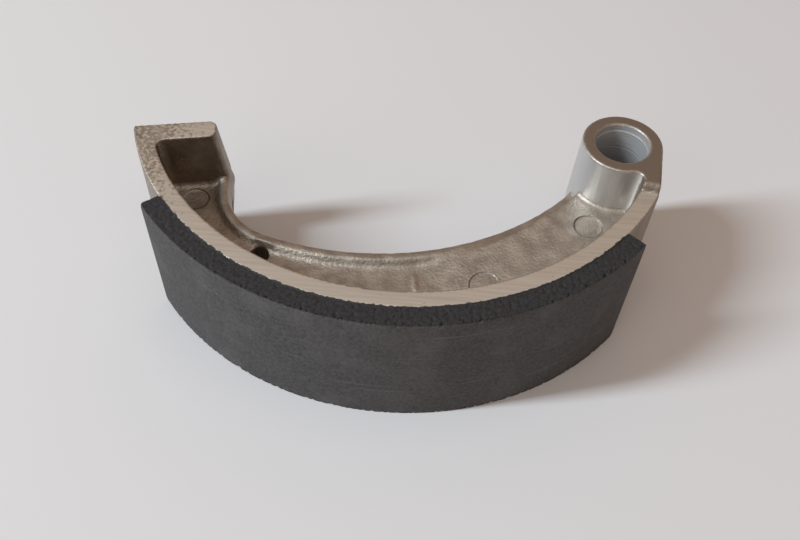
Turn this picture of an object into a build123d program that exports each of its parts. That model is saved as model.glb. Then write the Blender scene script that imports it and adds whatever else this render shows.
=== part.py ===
from build123d import *
import os
from math import cos, radians, sin, tan

# A drum brake's shoe, lying on its edge: an aluminium die casting of T section with a friction lining
# bonded round its rim. The drum's axis is vertical. The plan is drawn round the drum's axis, with the
# lining's middle on -Y and the pivot end towards +X, and the finished shoe is moved so that its own
# frame has the pivot bore on the Z axis and the shoe's lower edge at Z 0.

# ---- rim and lining, in millimetres and degrees ----
drum_r = 80.0             # inside of the brake drum, which the lining's face fits
shoe_w = 40.0             # width of rim and lining along the drum's axis
lining_t = 5.0            # friction lining's thickness
lining_span = 103.0       # angle that the lining covers
rim_t = 4.8               # rim's thickness at its machined edges

# ---- web, and the bead along its inner edge ----
web_t = 5.0               # web's thickness, at mid width
throat_r = 76.0           # radius of the web's inner edge
web_depth = 25.8          # the web's greatest depth, from the rim to its inner edge
web_depth_angle = -69.9   # and the direction in which it lies
throat_straight = 3.85    # straight part of the inner edge, between its end rounding and the cam wall
bead_w = 2.8              # width of the bead's top
bead_h = 2.0              # bead's height over the web
bead_slope = 1.2          # how much wider its foot is than its top
web_rise = 5.0            # how much the web's upper face rises to the boss, outside the bead
rise_start = 60.0         # where the rise begins, before the bore's axis
rise_end = 24.0           # and where it ends
rise_angle = 45.0         # direction in which it climbs

# ---- cam end ----
cam_gap = 7.4             # distance of the cam face from the drum's axis
cam_tilt = 11.8           # direction of the cam face in plan
cam_wall = 6.0            # thickness of the wall behind the cam face
cam_length = 20.5         # the wall's length from the rim's inside to its free end
cam_side = 95.2           # direction of the free end and of the web's edge below it
cam_draft = 7.5           # draft of the free end
cam_side_round = 2.2      # rounding of the free end's two upright corners
heel_round = 0.8          # rounding of the cast corner between cam face and rim

# ---- pivot end ----
pivot_angle = -15.5       # direction of the pivot bore from the drum's axis
bore_d = 14.0             # pivot bore
mouth_d = 14.5            # recess in the bore's mouth
mouth_depth = 2.4
boss_d = 21.4             # boss round the bore, at its taller end
boss_bite = 1.7           # how far the boss reaches into the rim
boss_rise = 2.0           # how far the boss and neck stand above the rim's edge, on one side
neck_side = 82.0          # direction of the neck's outer side
neck_length = 14.1        # raised part of the neck, from the bore's axis
neck_round = 1.7          # rounding of the step from the neck down to the rim's edge

# ---- cast details ----
draft = 1.5               # draft of the pocket walls, the throat and the boss
neck_corner_r = 2.3       # upright corner of the pockets at the neck
cam_corner_r = 2.4        # upright corner of the pockets at the cam wall
root_r = 1.8              # root fillets round the pocket floors
spring_hole_d = 5.2       # hole in the web for the return spring's hook
spring_hole_inset = 10.1  # its distance inside the rim
spring_hole_angle = -125.2
pin_mark_d = 7.6          # round marks left on the web by the ejector pins
pin_mark_depth = 0.3
cam_mark_inset = 6.6      # the mark at the cam end, in from the rim
cam_mark_angle = -150.7
middle_mark_inset = 11.1  # the one at the web's middle
middle_mark_angle = -65.4
boss_mark_inset = 8.3     # and the one before the boss
boss_mark_angle = -33.4
stroke_l = 5.0            # plain stroke cast on the web as the mould cavity's tally
stroke_w = 0.9
stroke_h = 0.3
stroke_inset = 15.7
stroke_angle = -82.7

# ---- sizes that follow ----
bond_r = drum_r - lining_t
rim_in_r = bond_r - rim_t
throat_offset = throat_r - (rim_in_r - web_depth)
cam_reach = rim_in_r - cam_length
boss_r = boss_d / 2
pivot_r = rim_in_r + boss_bite - boss_r
mid_z = shoe_w / 2
web_top = mid_z + web_t / 2
bead_top = web_top + bead_h
boss_top = shoe_w + boss_rise
core_middle = (web_top + boss_top) / 2
risen_top = web_top + web_rise
pin_mark_places = [
    (cam_mark_inset, cam_mark_angle, web_top),
    (middle_mark_inset, middle_mark_angle, web_top),
    (boss_mark_inset, boss_mark_angle, risen_top),
]
reach = 3 * drum_r
parting = Plane.XY.offset(mid_z)


def along(distance, angle, start=Vector(0, 0)):
    """The plan point at a distance and a direction from a start."""
    return start + Vector(cos(radians(angle)), sin(radians(angle))) * distance


def beyond(point, angle):
    """The plan region to the left of the line that runs through a point at an angle."""
    return Pos(point.X, point.Y) * Rot(0, 0, angle) * Pos(0, reach / 2) * Rectangle(2 * reach, reach)


def beyond_wall(point, angle, lean):
    """The solid region to the left of a wall through a point of the parting plane, which leans back."""
    block = Pos(0, reach / 2) * Box(2 * reach, reach, 2 * reach)
    return at_height(mid_z) * Pos(point.X, point.Y) * Rot(0, 0, angle) * Rot(-lean, 0, 0) * block


def at_height(z):
    """The place at height z on the drum's axis."""
    return Pos(0, 0, z)


def drafted(angle, height):
    """How far a wall with this draft leans over a height."""
    return height * tan(radians(angle))


throat_middle = along(throat_offset, web_depth_angle + 180)
at_throat = Pos(throat_middle.X, throat_middle.Y)
cam_foot = along(cam_gap, cam_tilt - 90, along(cam_reach, cam_tilt + 180))
pivot = along(pivot_r, pivot_angle)
at_pivot = Pos(pivot.X, pivot.Y)
boss_foot_r = boss_r + drafted(draft, boss_top - mid_z)


def near(shape, point, z):
    """The edge of a shape that passes nearest to a plan point at height z."""
    return shape.edges().sort_by_distance((point.X, point.Y, z))[0]


def at_cam_end(radius, gap):
    """Where a line parallel to the cam face, this gap from the drum's axis, meets a circle round it."""
    return along((radius**2 - gap**2) ** 0.5, cam_tilt + 180, along(gap, cam_tilt - 90))


def throat_end_r():
    """The rounding that runs on from the straight part and into the throat's own radius."""
    start = along(cam_wall + throat_straight, cam_side + 180, cam_foot)
    offset = start - throat_middle
    inward = Vector(sin(radians(cam_side)), -cos(radians(cam_side)))
    return (throat_r**2 - offset.length**2) / (2 * (throat_r + offset.dot(inward)))


def outline():
    """The shoe in plan from the cam face to the bore, with the throat and pockets still full."""
    neck_start = along(boss_r, neck_side - 90, pivot)
    plan = Circle(bond_r) - beyond(along(cam_gap, cam_tilt - 90), cam_tilt)
    plan -= beyond(neck_start, neck_side - 180)
    return plan - beyond(pivot, neck_side - 90)


def throat_plan(grow=0.0):
    """The open inside of the shoe in plan, grown all round."""
    plan = at_throat * Circle(throat_r + grow)
    plan -= beyond(along(grow, cam_tilt + 180, cam_foot), cam_side)
    corner = plan.vertices().sort_by(Axis.Y)[0]
    return fillet(corner, throat_end_r() + grow)


def throat():
    """The open inside of the shoe, drafted from the parting plane up."""
    round_room = at_throat * extrude(Circle(throat_r), boss_top, taper=-draft)
    room = at_height(mid_z) * round_room - beyond_wall(cam_foot, cam_side, cam_draft)
    end = (at_throat * Circle(throat_r) - beyond(cam_foot, cam_side)).vertices().sort_by(Axis.Y)[0]
    return fillet(near(room, end, (mid_z + boss_top) / 2), throat_end_r())


def bead():
    """The bead and all that lies inside its line, which the die's core leaves."""
    foot = at_height(web_top - bead_h) * throat_plan(bead_w + 2 * bead_slope)
    crest = at_height(bead_top) * throat_plan(bead_w)
    return loft([foot, crest], ruled=True)


def boss(end):
    """The round boss from the parting plane to its end, drafted both ways from the plane."""
    return at_height(mid_z) * at_pivot * extrude(Circle(boss_foot_r), end - mid_z, taper=draft)


def rise():
    """What lifts the pocket's floor to the boss, up to the bead's slope: a wedge, and the boss's flare."""
    climb = Polyline((-rise_start, mid_z), (-rise_start, web_top), (-rise_end, risen_top), (reach, risen_top))
    side = make_face(climb + Polyline((reach, risen_top), (reach, mid_z), (-rise_start, mid_z)))
    wedge = Rot(0, 0, rise_angle) * Rot(90, 0, 0) * extrude(side, reach, both=True)
    flare_r = boss_r + root_r
    hollow = Pos(0, 0, risen_top + root_r) * Torus(flare_r, root_r)
    flare = Pos(0, 0, risen_top) * extrude(Circle(flare_r), root_r) - hollow
    return at_pivot * (wedge + flare) - extrude(throat_plan(bead_w + bead_slope / 2), shoe_w)


def pocket():
    """The pocket as the die's core forms it: drafted, rounded at its floor, stepped over the bead."""
    height = boss_top - web_top + root_r
    rim_foot_r = rim_in_r - drafted(draft, shoe_w - web_top)
    wall = along(cam_gap + cam_wall + drafted(draft, shoe_w - mid_z), cam_tilt - 90)
    core = at_height(web_top) * extrude(Circle(rim_foot_r), height, taper=-draft)
    core -= beyond_wall(wall, cam_tilt, draft)
    core -= beyond_wall(pivot, neck_side - 90, 0)
    core = fillet(near(core, at_cam_end(rim_in_r, cam_gap + cam_wall), core_middle), cam_corner_r)
    core -= bead()
    core -= boss(boss_top + 2 * root_r)
    rim_to_boss = (at_pivot * Circle(boss_r) - Circle(rim_in_r)).vertices().sort_by(Axis.Y)[0]
    core = fillet(near(core, rim_to_boss, core_middle), neck_corner_r)
    return fillet(core.edges().group_by(Axis.Z)[0], root_r)


def round_cam_end(half):
    """The cast upright corners of the cam end, rounded from the parting plane up."""
    middle = (mid_z + shoe_w) / 2
    half = fillet(near(half, at_cam_end(bond_r, cam_gap), middle), heel_round)
    reach_there = cam_reach + drafted(cam_draft, middle - mid_z)
    toe = along(reach_there, cam_tilt + 180, along(cam_gap, cam_tilt - 90))
    inner_toe = along(cam_wall, cam_tilt - 90, toe)
    return fillet([near(half, toe, middle), near(half, inner_toe, middle)], cam_side_round)


def neck(height):
    """The raised end of the shoe, rounded where it drops to the rim's machined edge."""
    end = along(neck_length, neck_side + 180, pivot)
    raised = outline() & beyond(end, neck_side - 90)
    raised -= beyond(throat_middle, web_depth_angle + 180)
    block = extrude(at_height(mid_z) * raised, height - mid_z)
    return fillet(near(block, end, height), neck_round)


def upper_half(height):
    """The casting from its parting plane up to the boss's end, which stands at a height."""
    half = extrude(at_height(mid_z) * outline(), shoe_w - mid_z)
    core = pocket()
    if height > shoe_w:
        half += neck(height)
        core -= rise()
    half -= throat()
    half += boss(height)
    return round_cam_end(half - core)


def bore():
    """The pivot bore with the recess in its mouth."""
    through = extrude(Circle(bore_d / 2), boss_top)
    mouth = at_height(boss_top - mouth_depth) * extrude(Circle(mouth_d / 2), mouth_depth)
    return at_pivot * (through + mouth)


def cast_marks():
    """The ejector pins' shallow marks on the web's upper face."""
    marks = Part()
    for inset, angle, floor in pin_mark_places:
        place = along(rim_in_r - inset, angle)
        mark = extrude(Circle(pin_mark_d / 2), pin_mark_depth)
        marks += Pos(place.X, place.Y, floor - pin_mark_depth) * mark
    return marks


def casting():
    """The shoe itself: both halves from the die, then what is machined and drilled."""
    shoe = upper_half(boss_top) + mirror(upper_half(shoe_w), about=parting)
    shoe -= bore()
    hole = along(rim_in_r - spring_hole_inset, spring_hole_angle)
    shoe -= Pos(hole.X, hole.Y) * extrude(Circle(spring_hole_d / 2), shoe_w)
    shoe -= cast_marks()
    stroke = along(rim_in_r - stroke_inset, stroke_angle)
    bar = Rot(0, 0, stroke_angle) * extrude(SlotOverall(stroke_l, stroke_w), stroke_h)
    shoe += Pos(stroke.X, stroke.Y, web_top) * bar
    return shoe


def lining():
    """The moulded friction lining, cut square at its ends."""
    first = -90 - lining_span / 2
    last = -90 + lining_span / 2
    plan = Circle(drum_r) - Circle(bond_r)
    plan -= beyond(Vector(0, 0), first + 180)
    plan -= beyond(Vector(0, 0), last)
    return extrude(plan, shoe_w)


to_own_frame = Pos(-pivot.X, -pivot.Y)
os.makedirs("parts", exist_ok=True)
export_step(to_own_frame * casting(), "parts/shoe_casting.step")
export_step(to_own_frame * lining(), "parts/brake_lining.step")
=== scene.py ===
from math import cos, pi, radians, sin

import bmesh
import bpy
import numpy as np
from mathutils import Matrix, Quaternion, Vector, kdtree, noise


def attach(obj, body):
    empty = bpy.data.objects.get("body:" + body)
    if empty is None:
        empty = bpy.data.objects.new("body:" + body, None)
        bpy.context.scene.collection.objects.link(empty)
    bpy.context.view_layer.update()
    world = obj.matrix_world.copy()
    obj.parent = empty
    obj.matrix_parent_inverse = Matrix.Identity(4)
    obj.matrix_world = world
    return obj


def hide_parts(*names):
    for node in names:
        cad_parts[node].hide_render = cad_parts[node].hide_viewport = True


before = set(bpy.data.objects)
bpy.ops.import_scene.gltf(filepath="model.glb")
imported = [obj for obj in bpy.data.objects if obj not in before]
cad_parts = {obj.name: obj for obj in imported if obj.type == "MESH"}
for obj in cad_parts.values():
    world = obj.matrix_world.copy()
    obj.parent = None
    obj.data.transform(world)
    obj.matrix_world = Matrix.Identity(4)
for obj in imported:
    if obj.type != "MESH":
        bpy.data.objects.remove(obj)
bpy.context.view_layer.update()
scene = bpy.context.scene


# ---- shoe casting ----
# The shoe's body is one pressure die casting in aluminium, with its web, bead, boss and cam end.
# It comes from the die with a fine pebbled skin. Both edges of the rim, the ends of the boss and
# the bore are then machined.

shoe_width = 0.040
boss_top = 0.042
middle = shoe_width / 2
drum_x, drum_y = -0.058974, 0.016355
drum_axis = Vector((drum_x, drum_y))
bond_radius = 0.075
bore_radius = 0.0070
boss_radius = 0.0107
spring_hole = Vector((-0.09362, -0.03276))
pin_marks = ((-0.11444, -0.01477, 0.0), (-0.03437, -0.03738, 0.0), (-0.00730, -0.01772, 0.0))
pin_mark_radius = 0.0038

# The casting's mesh is made even, its corners are softened as cast ones are, and it is thinned.
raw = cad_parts["shoe_casting"].data.copy()
solid = bmesh.new()
solid.from_mesh(raw)
bmesh.ops.remove_doubles(solid, verts=solid.verts, dist=1e-6)
solid.to_mesh(raw)
solid.free()
blank = bpy.data.objects.new("casting_blank", raw)
scene.collection.objects.link(blank)
even = blank.modifiers.new("even", "REMESH")
even.mode = "VOXEL"
even.voxel_size = 0.00036
soften = blank.modifiers.new("soften", "SMOOTH")
soften.factor = 0.5
soften.iterations = 3
lighten = blank.modifiers.new("lighten", "DECIMATE")
lighten.ratio = 0.35
graph = bpy.context.evaluated_depsgraph_get()
casting_mesh = bpy.data.meshes.new_from_object(blank.evaluated_get(graph))
casting_mesh.name = "casting"
bpy.data.objects.remove(blank)
casting = bpy.data.objects.new("casting", casting_mesh)
scene.collection.objects.link(casting)

# The bead is a soft roll in the casting, so the mesh is relaxed along the throat on both sides,
# between two heights off the middle and within a reach of the throat's wall. The spring's hole
# and what lies close to it stay sharp.
throat_band = 0.0006
hole_edge = 0.0036
bead_low, bead_high = 0.0016, 0.0048
bead_reach = 0.0062
bead_clear_of_hole = 0.0042
bead_passes = 34
relax = bmesh.new()
relax.from_mesh(casting_mesh)
relax.normal_update()
throat_wall = []
for vert in relax.verts:
    at_middle = abs(vert.co.z - middle) < throat_band and abs(vert.normal.z) < 0.35
    inside_rim = (vert.co.xy - drum_axis).length < bond_radius - 0.0008
    off_hole = (vert.co.xy - spring_hole).length > hole_edge
    if at_middle and inside_rim and off_hole:
        throat_wall.append(vert.co.copy())
finder = kdtree.KDTree(len(throat_wall))
for i, spot in enumerate(throat_wall):
    finder.insert((spot.x, spot.y, 0.0), i)
finder.balance()
roll = []
for vert in relax.verts:
    off_middle = abs(vert.co.z - middle)
    off_hole = (vert.co.xy - spring_hole).length > bead_clear_of_hole
    if bead_low < off_middle < bead_high and off_hole:
        if finder.find((vert.co.x, vert.co.y, 0.0))[2] < bead_reach:
            roll.append(vert)
for i in range(bead_passes):
    bmesh.ops.smooth_vert(
        relax, verts=roll, factor=0.5, use_axis_x=True, use_axis_y=True, use_axis_z=True
    )
relax.to_mesh(casting_mesh)
relax.free()
for polygon in casting_mesh.polygons:
    polygon.use_smooth = True

# Relaxing and softening must not lift the mesh past the casting's own height.
count = len(casting_mesh.vertices)
place = np.empty(count * 3, np.float32)
casting_mesh.vertices.foreach_get("co", place)
place = place.reshape(-1, 3)
hair = 0.000002
place[:, 2] = np.clip(place[:, 2], hair, boss_top - hair)
casting_mesh.vertices.foreach_set("co", place.ravel())
facing = np.empty(count * 3, np.float32)
casting_mesh.vertices.foreach_get("normal", facing)
facing = facing.reshape(-1, 3)

# The mesh carries a mask for each finish: ground or turned faces, the bore and upright walls. The
# upright walls' mask also carries painted shade.
skim = 0.0003
neck_end = 0.0165
height = place[:, 2]
level = abs(facing[:, 2])
from_bore = np.hypot(place[:, 0], place[:, 1])
near_top = height > shoe_width - skim
machined_edge = (level > 0.96) & (near_top | (height < skim))
past_boss = from_bore > boss_radius + 0.0018
neck_step = near_top & past_boss & (from_bore < neck_end) & (facing[:, 2] < 0.985)
# The neck's sloped step down to the rim takes the boss end's dark colour as painted shade.
boss_end_and_step_shade = neck_step | (machined_edge & ((height > boss_top - skim) | ~past_boss))
in_bore = (from_bore < bore_radius + 0.0004) & (level < 0.5)
upright = (level < 0.35) & ~in_bore
boss_side = upright & (from_bore < boss_radius + 0.0017)
for name, mask in (
    ("machined", machined_edge),
    ("boss_end_and_step_shade", boss_end_and_step_shade),
    ("bored", in_bore),
    ("upright", upright),
    ("boss_side", boss_side),
):
    layer = casting_mesh.attributes.new(name, "FLOAT", "POINT")
    layer.data.foreach_set("value", mask.astype(np.float32))


def node(tree, kind, inputs, operation=None, group=None):
    """Add a node whose inputs are plain values or the outputs of other nodes."""
    made = tree.nodes.new(kind)
    if operation:
        made.operation = operation
    if group:
        made.node_tree = group
    for name, value in inputs.items():
        if isinstance(value, bpy.types.NodeSocket):
            tree.links.new(value, made.inputs[name])
        else:
            made.inputs[name].default_value = value
    return made


def layered(tree, mask, under, top, kind="RGBA", blend="MIX"):
    """Lay one colour or number over another where the mask is 1."""
    made = tree.nodes.new("ShaderNodeMix")
    made.data_type = kind
    made.blend_type = blend
    for name, value in (("Factor", mask), ("A", under), ("B", top)):
        if isinstance(value, bpy.types.NodeSocket):
            tree.links.new(value, made.inputs[name])
        else:
            made.inputs[name].default_value = value
    return made.outputs["Result"]


# Mottling: a colour that wanders between a dark and a pale tone.
mottle = bpy.data.node_groups.new("mottle", "ShaderNodeTree")
mottle.interface.new_socket("Vector", in_out="INPUT", socket_type="NodeSocketVector")
for name in ("Scale", "Detail", "Roughness", "Low", "High"):
    mottle.interface.new_socket(name, in_out="INPUT", socket_type="NodeSocketFloat")
for name in ("Dark", "Pale"):
    mottle.interface.new_socket(name, in_out="INPUT", socket_type="NodeSocketColor")
mottle.interface.new_socket("Colour", in_out="OUTPUT", socket_type="NodeSocketColor")
given = mottle.nodes.new("NodeGroupInput").outputs
cloud = node(
    mottle,
    "ShaderNodeTexNoise",
    {name: given[name] for name in ("Vector", "Scale", "Detail", "Roughness")},
)
share = node(
    mottle,
    "ShaderNodeMapRange",
    {"Value": cloud.outputs["Fac"], "From Min": given["Low"], "From Max": given["High"]},
)
tone = layered(mottle, share.outputs["Result"], given["Dark"], given["Pale"])
node(mottle, "NodeGroupOutput", {"Colour": tone})

# Grain: a fine bumpy surface.
grain = bpy.data.node_groups.new("grain", "ShaderNodeTree")
grain.interface.new_socket("Vector", in_out="INPUT", socket_type="NodeSocketVector")
for name in ("Scale", "Detail", "Distance", "Strength"):
    grain.interface.new_socket(name, in_out="INPUT", socket_type="NodeSocketFloat")
grain.interface.new_socket("Normal", in_out="OUTPUT", socket_type="NodeSocketVector")
given = grain.nodes.new("NodeGroupInput").outputs
speckle = node(
    grain, "ShaderNodeTexNoise", {name: given[name] for name in ("Vector", "Scale", "Detail")}
)
relief = node(
    grain,
    "ShaderNodeBump",
    {
        "Distance": given["Distance"],
        "Strength": given["Strength"],
        "Height": speckle.outputs["Fac"],
    },
)
node(grain, "NodeGroupOutput", {"Normal": relief.outputs["Normal"]})

cast_alu = bpy.data.materials.new("cast_aluminium")
cast_alu.use_nodes = True
tree = cast_alu.node_tree
metal = tree.nodes["Principled BSDF"]
where = tree.nodes.new("ShaderNodeTexCoord").outputs["Object"]
surface = {}
for name in ("machined", "boss_end_and_step_shade", "bored", "upright", "boss_side"):
    carried = tree.nodes.new("ShaderNodeAttribute")
    carried.attribute_name = name
    surface[name] = carried.outputs["Fac"]

skin_colour = node(
    tree,
    "ShaderNodeGroup",
    {
        "Vector": where,
        "Scale": 260.0,
        "Detail": 5.0,
        "Roughness": 0.5,
        "Low": 0.35,
        "High": 0.68,
        "Dark": (0.31, 0.272, 0.23, 1),
        "Pale": (0.45, 0.40, 0.345, 1),
    },
    group=mottle,
)
along_x = node(
    tree,
    "ShaderNodeMapping",
    {"Vector": where, "Scale": (60.0, 1400.0, 60.0), "Rotation": (0.0, 0.0, 0.5)},
)
linished = node(
    tree,
    "ShaderNodeGroup",
    {
        "Vector": along_x.outputs["Vector"],
        "Scale": 1.0,
        "Detail": 3.0,
        "Roughness": 0.5,
        "Low": 0.3,
        "High": 0.7,
        "Dark": (0.57, 0.54, 0.49, 1),
        "Pale": (0.69, 0.655, 0.60, 1),
    },
    group=mottle,
)

# Towards the cam end the grinding has left hollows with the cast skin in them.
split = node(tree, "ShaderNodeSeparateXYZ", {"Vector": where})
near_cam = node(
    tree,
    "ShaderNodeMapRange",
    {"Value": split.outputs["X"], "From Min": -0.108, "From Max": -0.122, "To Max": 0.24},
)
near_end = node(
    tree,
    "ShaderNodeMapRange",
    {"Value": split.outputs["Y"], "From Min": -0.022, "From Max": -0.012, "To Max": 0.02},
)
cast_share = node(
    tree, "ShaderNodeMath", {0: near_cam.outputs["Result"], 1: near_end.outputs["Result"]}, "ADD"
)
hollows = node(tree, "ShaderNodeTexNoise", {"Vector": where, "Scale": 1000.0, "Detail": 4.0})
hollow_level = node(
    tree, "ShaderNodeMath", {0: hollows.outputs["Fac"], 1: cast_share.outputs["Value"]}, "ADD"
)
left_cast = node(
    tree,
    "ShaderNodeMapRange",
    {
        "Value": hollow_level.outputs["Value"],
        "From Min": 0.66,
        "From Max": 0.78,
        "To Min": 1.0,
        "To Max": 0.0,
    },
)
ground = node(
    tree, "ShaderNodeMath", {0: left_cast.outputs["Result"], 1: surface["machined"]}, "MULTIPLY"
).outputs["Value"]

# Black adhesive has squeezed out along the bond and lies on the rim's outer corner.
lining_end_y = -0.0305
from_axis = node(
    tree, "ShaderNodeVectorMath", {0: where, 1: (drum_x, drum_y, 0.0)}, "SUBTRACT"
)
in_plan = node(
    tree, "ShaderNodeVectorMath", {0: from_axis.outputs["Vector"], 1: (1.0, 1.0, 0.0)}, "MULTIPLY"
)
from_drum = node(tree, "ShaderNodeVectorMath", {0: in_plan.outputs["Vector"]}, "LENGTH")
ragged = node(tree, "ShaderNodeTexNoise", {"Vector": where, "Scale": 700.0, "Detail": 3.0})
bond_line = node(
    tree,
    "ShaderNodeMapRange",
    {
        "Value": ragged.outputs["Fac"],
        "From Min": 0.3,
        "From Max": 0.7,
        "To Min": bond_radius - 0.0007,
        "To Max": bond_radius - 0.00025,
    },
)
outside = node(
    tree,
    "ShaderNodeMath",
    {0: from_drum.outputs["Value"], 1: bond_line.outputs["Result"]},
    "GREATER_THAN",
)
under_pad = node(tree, "ShaderNodeMath", {0: split.outputs["Y"], 1: lining_end_y}, "LESS_THAN")
glued = node(
    tree,
    "ShaderNodeMath",
    {0: outside.outputs["Value"], 1: under_pad.outputs["Value"]},
    "MULTIPLY",
).outputs["Value"]

# Each finish lies over the one before it: skin, ground edge, walls, boss, bore and adhesive. The
# walls' layer is painted shade, the boss end's colour is also painted shade on the neck's step,
# and the bore's grey is partly painted shade.
finish = layered(tree, ground, skin_colour.outputs["Colour"], linished.outputs["Colour"])
# Upright walls are darkened by a multiplied grey: painted shade.
finish = layered(tree, surface["upright"], finish, (0.76, 0.73, 0.71, 1), blend="MULTIPLY")
for mask, colour in (
    (surface["boss_side"], (0.63, 0.635, 0.64, 1)),
    # The boss end's own dark colour, which is also painted shade on the neck's step.
    (surface["boss_end_and_step_shade"], (0.27, 0.228, 0.192, 1)),
    # The bore's grey is darker than the other machined faces: partly painted shade inside the
    # bore.
    (surface["bored"], (0.42, 0.42, 0.425, 1)),
    (glued, (0.022, 0.021, 0.022, 1)),
):
    finish = layered(tree, mask, finish, colour)
tree.links.new(finish, metal.inputs["Base Color"])
clean = layered(tree, surface["bored"], 0.88, 0.30, "FLOAT")
tree.links.new(layered(tree, glued, clean, 0.0, "FLOAT"), metal.inputs["Metallic"])
sheen = layered(tree, surface["upright"], 0.50, 0.38, "FLOAT")
sheen = layered(tree, surface["bored"], sheen, 0.36, "FLOAT")
tree.links.new(layered(tree, glued, sheen, 0.75, "FLOAT"), metal.inputs["Roughness"])

# The cast skin is pebbled, and its grain fades where the metal is ground, turned or bored.
smoother = node(tree, "ShaderNodeMath", {0: ground, 1: surface["bored"]}, "MAXIMUM")
drawn = node(
    tree, "ShaderNodeMath", {0: smoother.outputs["Value"], 1: surface["boss_side"]}, "MAXIMUM"
)
pebble_share = node(
    tree, "ShaderNodeMapRange", {"Value": drawn.outputs["Value"], "To Min": 1.0, "To Max": 0.12}
)
skin = node(
    tree,
    "ShaderNodeGroup",
    {
        "Vector": where,
        "Scale": 1350.0,
        "Detail": 3.0,
        "Distance": 0.00018,
        "Strength": pebble_share.outputs["Result"],
    },
    group=grain,
)

# The ejector pins have left a soft rim round each mark, and a boring tool fine rings in the bore.
flat_place = node(tree, "ShaderNodeVectorMath", {0: where, 1: (1.0, 1.0, 0.0)}, "MULTIPLY")
from_pins = []
for centre in pin_marks:
    off_pin = node(
        tree, "ShaderNodeVectorMath", {0: flat_place.outputs["Vector"], 1: centre}, "DISTANCE"
    )
    from_pins.append(off_pin.outputs["Value"])
nearest = from_pins[0]
for other in from_pins[1:]:
    nearest = node(tree, "ShaderNodeMath", {0: nearest, 1: other}, "MINIMUM").outputs["Value"]
pin_edge = node(
    tree,
    "ShaderNodeMapRange",
    {
        "Value": nearest,
        "From Min": pin_mark_radius - 0.0002,
        "From Max": pin_mark_radius + 0.0002,
    },
)
pins = node(
    tree,
    "ShaderNodeBump",
    {
        "Distance": 0.0004,
        "Height": pin_edge.outputs["Result"],
        "Normal": skin.outputs["Normal"],
    },
)
round_bore = node(tree, "ShaderNodeMapping", {"Vector": where, "Scale": (20.0, 20.0, 1500.0)})
tool_marks = node(
    tree,
    "ShaderNodeTexNoise",
    {"Vector": round_bore.outputs["Vector"], "Scale": 1.0, "Detail": 2.0},
)
turned = node(
    tree,
    "ShaderNodeBump",
    {
        "Distance": 0.00025,
        "Strength": surface["bored"],
        "Height": tool_marks.outputs["Fac"],
        "Normal": pins.outputs["Normal"],
    },
)
tree.links.new(turned.outputs["Normal"], metal.inputs["Normal"])

casting_mesh.materials.clear()
casting_mesh.materials.append(cast_alu)
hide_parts("shoe_casting")
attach(casting, "root")


# ---- brake lining ----
# The lining is a pad of moulded friction material, pressed and bonded on the rim's outer face.
# Its edges are cut and left coarse, so they crumble a little, and its face is finely scratched.

lining_radius = 0.07998
half_span = radians(51.5)
steps = 420
height_rows = 64
depth_rows = 12
across = []
for i in range(height_rows):
    across.append((0.0, i / height_rows))
for i in range(depth_rows):
    across.append((i / depth_rows, 1.0))
for i in range(height_rows):
    across.append((1.0, 1.0 - i / height_rows))
for i in range(depth_rows):
    across.append((1.0 - i / depth_rows, 0.0))
ring = len(across)

# Pits crumble the cut sides, most of all near the face, and chips round the face's long edges.
pits_per_metre = 900
side_pit, corner_pit = 0.00035, 0.0006
chip_width, chip_depth, corner_round = 0.0012, 0.0005, 0.00012
points, quads = [], []
for s in range(steps + 1):
    angle = -pi / 2 - half_span + 2 * half_span * s / steps
    for depth, up in across:
        radius = lining_radius - depth * (lining_radius - bond_radius)
        x = drum_x + radius * cos(angle)
        y = drum_y + radius * sin(angle)
        z = up * shoe_width
        to_edge = min(up, 1 - up) * shoe_width
        if depth < 0.95:
            on_top, below = up > 0.999, up < 0.001
            pit = noise.fractal(Vector((x, y, z)) * pits_per_metre, 1.0, 2.2, 3)
            crumb = max(0.0, pit - 0.05)
            if on_top or below:
                lost = side_pit * crumb + (corner_pit * crumb if depth < 0.12 else 0.0)
                z += -lost if on_top else lost
            if depth < 0.01 and to_edge < chip_width:
                chip = (chip_depth * crumb + corner_round) * (1 - to_edge / chip_width)
                x += (drum_x - x) / radius * chip
                y += (drum_y - y) / radius * chip
        points.append((x, y, z))
for s in range(steps):
    for i in range(ring):
        a = s * ring + i
        b = s * ring + (i + 1) % ring
        quads.append((a, b, b + ring, a + ring))
lining_mesh = bpy.data.meshes.new("lining")
lining_mesh.from_pydata(points, [], quads)
cap = bmesh.new()
cap.from_mesh(lining_mesh)
bmesh.ops.holes_fill(cap, edges=cap.edges)
bmesh.ops.recalc_face_normals(cap, faces=cap.faces)
cap.to_mesh(lining_mesh)
cap.free()
lining = bpy.data.objects.new("lining", lining_mesh)
scene.collection.objects.link(lining)

# This mask marks the lining's face, which takes a paler tone than the cut edges as painted sheen.
face_sheen = lining_mesh.attributes.new("face_sheen", "FLOAT", "POINT")
spots = np.array([v.co[:] for v in lining_mesh.vertices])
reach = np.hypot(spots[:, 0] - drum_x, spots[:, 1] - drum_y)
between_edges = (spots[:, 2] > 0.0004) & (spots[:, 2] < shoe_width - 0.0006)
on_face = (reach > lining_radius - 0.0004) & between_edges
face_sheen.data.foreach_set("value", on_face.astype(np.float32))

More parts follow.
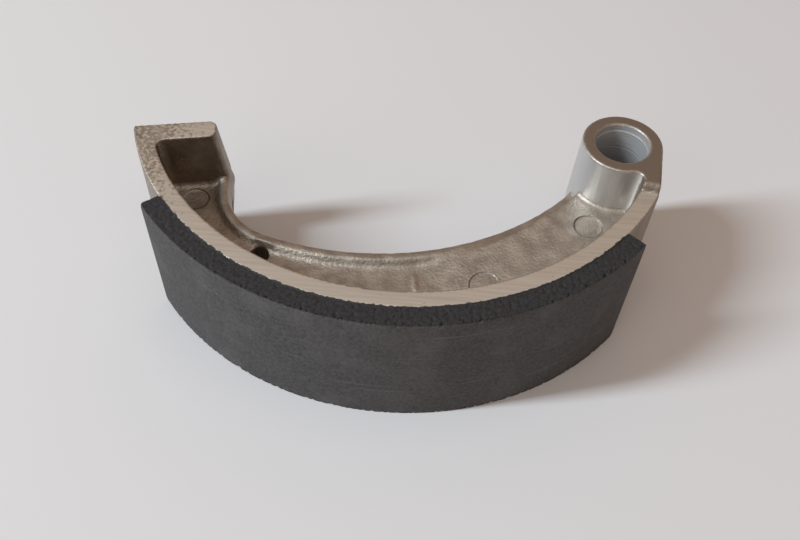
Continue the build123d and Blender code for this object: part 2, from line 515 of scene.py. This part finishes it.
friction = bpy.data.materials.new("friction_lining")
friction.use_nodes = True
tree = friction.node_tree
pad = tree.nodes["Principled BSDF"]
pad.inputs["Roughness"].default_value = 0.8
pad.inputs["Specular IOR Level"].default_value = 0.35
where = tree.nodes.new("ShaderNodeTexCoord").outputs["Object"]
face_sheen_mask = tree.nodes.new("ShaderNodeAttribute")
face_sheen_mask.attribute_name = "face_sheen"
tones = {}
for name, dark, pale in (
    ("cut", (0.010, 0.0097, 0.010, 1), (0.034, 0.032, 0.034, 1)),
    ("face", (0.035, 0.034, 0.035, 1), (0.088, 0.086, 0.088, 1)),
):
    tones[name] = node(
        tree,
        "ShaderNodeGroup",
        {
            "Vector": where,
            "Scale": 1100.0,
            "Detail": 6.0,
            "Roughness": 0.65,
            "Low": 0.3,
            "High": 0.7,
            "Dark": dark,
            "Pale": pale,
        },
        group=mottle,
    ).outputs["Colour"]

# Fine scratches run round the face, and pale dust lies on it in patches.
drag = node(
    tree,
    "ShaderNodeMapping",
    {"Vector": where, "Scale": (30.0, 30.0, 1300.0), "Rotation": (0.10, 0.16, 0.0)},
)
streaks = node(
    tree, "ShaderNodeTexNoise", {"Vector": drag.outputs["Vector"], "Scale": 1.0, "Detail": 2.0}
)
scored = node(
    tree,
    "ShaderNodeMapRange",
    {"Value": streaks.outputs["Fac"], "From Min": 0.65, "From Max": 0.74, "To Max": 0.55},
)
dust = node(tree, "ShaderNodeTexNoise", {"Vector": where, "Scale": 75.0, "Detail": 4.0})
dusty = node(
    tree,
    "ShaderNodeMapRange",
    {"Value": dust.outputs["Fac"], "From Min": 0.48, "From Max": 0.72, "To Max": 0.40},
)
face = layered(tree, scored.outputs["Result"], tones["face"], (0.14, 0.137, 0.137, 1))
face = layered(tree, dusty.outputs["Result"], face, (0.125, 0.123, 0.125, 1))
# The face is paler than the cut edges: painted sheen.
tree.links.new(layered(tree, face_sheen_mask.outputs["Fac"], tones["cut"], face), pad.inputs["Base Color"])
grit = node(
    tree,
    "ShaderNodeGroup",
    {"Vector": where, "Scale": 1500.0, "Detail": 3.0, "Distance": 0.00015, "Strength": 0.7},
    group=grain,
)
tree.links.new(grit.outputs["Normal"], pad.inputs["Normal"])

lining_mesh.materials.append(friction)
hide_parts("brake_lining")
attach(lining, "root")


# ---- floor ----
# The shoe lies on a plain sheet of pale matt card, which is much larger than the shoe and has no
# mark, fold or edge near it.

floor_mesh = bpy.data.meshes.new("floor")
half = 3.0
corners = [(-half, -half, 0), (half, -half, 0), (half, half, 0), (-half, half, 0)]
floor_mesh.from_pydata(corners, [], [(0, 1, 2, 3)])
floor = bpy.data.objects.new("floor", floor_mesh)
scene.collection.objects.link(floor)
card = bpy.data.materials.new("pale_card")
card.use_nodes = True
sheet = card.node_tree.nodes["Principled BSDF"]
sheet.inputs["Base Color"].default_value = (0.62, 0.615, 0.625, 1)
sheet.inputs["Roughness"].default_value = 0.9
floor_mesh.materials.append(card)


# ---- light and camera ----
# A tall soft key lamp on the left, a weak wide one above, a weak one in front on the left, and a
# warm room whose backdrop looks pale grey.

room = bpy.data.worlds.new("room")
room.use_nodes = True
nodes, links = room.node_tree.nodes, room.node_tree.links
warm = nodes["Background"]
warm.inputs["Color"].default_value = (0.365, 0.25, 0.175, 1)
pale = nodes.new("ShaderNodeBackground")
pale.inputs["Color"].default_value = (0.60, 0.59, 0.60, 1)
ray = nodes.new("ShaderNodeLightPath")
seen = nodes.new("ShaderNodeMixShader")
links.new(ray.outputs["Is Camera Ray"], seen.inputs["Fac"])
links.new(warm.outputs["Background"], seen.inputs[1])
links.new(pale.outputs["Background"], seen.inputs[2])
links.new(seen.outputs["Shader"], nodes["World Output"].inputs["Surface"])
scene.world = room

lamp_aim = Vector((-0.06, -0.02, 0.0))
for name, spot, size, tall, power, tint in (
    ("key", (-1.591, -0.430, 1.378), 0.20, 0.92, 43.0, (0.81, 0.925, 1.0)),
    ("wide", (0.10, -0.20, 1.20), 0.90, 0.90, 2.4, (0.88, 0.95, 1.0)),
    ("front", (-0.72, -1.00, 0.75), 0.90, 0.90, 2.7, (0.93, 0.97, 1.0)),
):
    lamp = bpy.data.lights.new(name, "AREA")
    lamp.shape = "RECTANGLE"
    lamp.size = size
    lamp.size_y = tall
    lamp.energy = power
    lamp.color = tint
    holder = bpy.data.objects.new(name, lamp)
    holder.location = spot
    towards = lamp_aim - Vector(spot)
    holder.rotation_euler = towards.to_track_quat("-Z", "Y").to_euler()
    scene.collection.objects.link(holder)

camera = bpy.data.cameras.new("camera")
camera.sensor_width = 36.0
camera.lens = 39.77
camera.clip_start = 0.01
viewer = bpy.data.objects.new("camera", camera)
viewer.location = (-0.05127, -0.17683, 0.20359)
viewer.rotation_mode = "QUATERNION"
sight = Vector((-0.02164, 0.61975, -0.78450)).to_track_quat("-Z", "Y")
tilt = Quaternion((0, 0, 1), radians(3.168))
viewer.rotation_quaternion = sight @ tilt
scene.collection.objects.link(viewer)
scene.camera = viewer
scene.view_settings.view_transform = "Standard"
